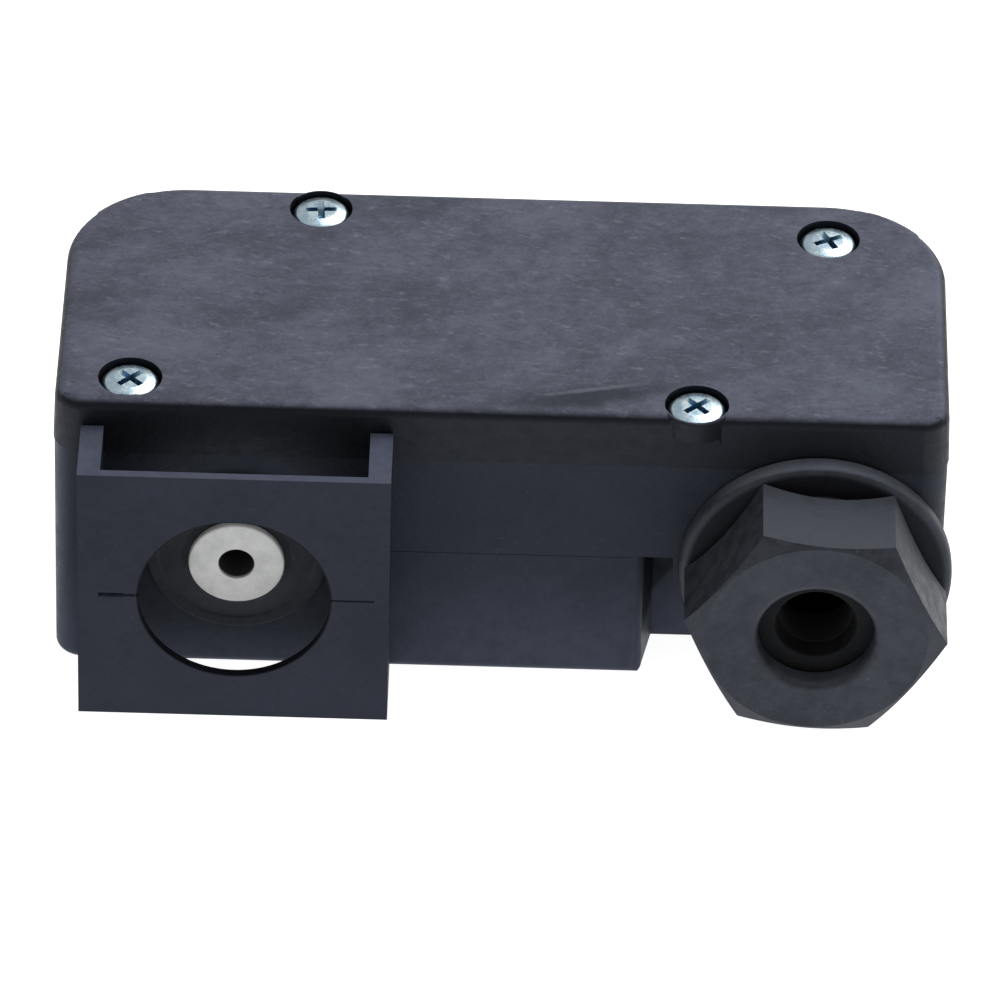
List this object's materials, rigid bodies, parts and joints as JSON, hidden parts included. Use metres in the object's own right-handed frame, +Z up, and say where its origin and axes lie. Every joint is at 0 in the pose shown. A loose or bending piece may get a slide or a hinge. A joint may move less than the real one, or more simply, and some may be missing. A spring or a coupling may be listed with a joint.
{
  "type": "limit switch",
  "caption": "Small plastic box limit switch with a round-windowed guard in front of a sprung plunger and a hexagonal cable gland.",
  "frame": {"origin": "centre of the housing's flat bottom face", "axes": "+X along the housing, from the plunger end to the gland end; the plunger and the gland face -Y; +Z up through the cover"},
  "size_m": [0.0956, 0.0525, 0.0345],
  "materials": {
    "base_plastic": "bluish dark grey moulded plastic with a fine grain",
    "cover_plastic": "charcoal moulded plastic, mottled and lightly scuffed",
    "gland_plastic": "near-black moulded plastic, slightly scuffed",
    "plunger_plastic": "off-white matte plastic",
    "black_rubber": "soft black rubber",
    "zinc_steel": "bright blue-zinc plated steel",
    "spring_steel": "drawn spring steel",
    "brass": "plain brass",
    "copper": "beryllium copper strip",
    "silver": "silver alloy contact",
    "switch_plastic": "dark blue thermoset case",
    "button_plastic": "red moulded pin",
    "block_plastic": "cream moulded plastic",
    "black_lead": "black insulation",
    "red_lead": "red insulation",
    "blue_lead": "blue insulation"
  },
  "bodies": {
    "housing": {"housing_base": "base_plastic", "guard_frame": "base_plastic", "cover": "cover_plastic", "cover_gasket": "black_rubber", "cover_screws": "zinc_steel", "plunger_bushing": "brass", "plunger_boot": "black_rubber", "plunger_spring": "spring_steel", "switch_case": "switch_plastic", "switch_lid": "switch_plastic", "lever_pin": "spring_steel", "contact_common": "brass", "contact_no": "brass", "contact_nc": "brass", "switch_screws": "zinc_steel", "terminal_block": "block_plastic", "terminal_clamps": "brass", "terminal_screws": "zinc_steel", "lead_common": "black_lead", "lead_no": "red_lead", "lead_nc": "blue_lead", "gland_body": "gland_plastic", "gland_o_ring": "black_rubber", "clamp_cage": "gland_plastic", "sealing_insert": "black_rubber"},
    "plunger": {"plunger": "plunger_plastic", "plunger_clip": "spring_steel"},
    "lever": {"switch_lever": "spring_steel"},
    "button": {"switch_button": "button_plastic"},
    "blade": {"snap_blade": "copper", "moving_contact": "silver"},
    "nut": {"cap_nut": "gland_plastic"}
  },
  "joints": [
    {"name": "plunger_slide", "type": "slide", "parent": "housing", "child": "plunger", "axis": [0, 1, 0], "range_m": [0, 0.0018], "stiffness_N_per_m": 1500, "springref_m": -0.001, "deforming": ["plunger_spring", "plunger_boot"]},
    {"name": "lever_pivot", "type": "hinge", "parent": "housing", "child": "lever", "pos_m": [-0.03623, -0.0055, 0.0157], "axis": [0, 0, 1], "range_deg": [0, 12.3]},
    {"name": "button_slide", "type": "slide", "parent": "housing", "child": "button", "axis": [0, 1, 0], "range_m": [0, 0.00052]},
    {"name": "blade_rock", "type": "hinge", "parent": "housing", "child": "blade", "pos_m": [-0.02783, 0.00125, 0.0157], "axis": [0, 0, -1], "range_deg": [0, 5]},
    {"name": "nut_turn", "type": "hinge", "parent": "housing", "child": "nut", "pos_m": [0.0337, -0.027, 0.01545], "axis": [0, -1, 0], "range_deg": [0, 360]}
  ],
  "couplings": [
    {"joint": "lever_pivot", "follows": "plunger_slide", "rad_per_m": 117.65},
    {"joint": "button_slide", "follows": "plunger_slide", "ratio": 0.2824},
    {"joint": "blade_rock", "follows": "plunger_slide", "rad_per_m": 47.067}
  ]
}
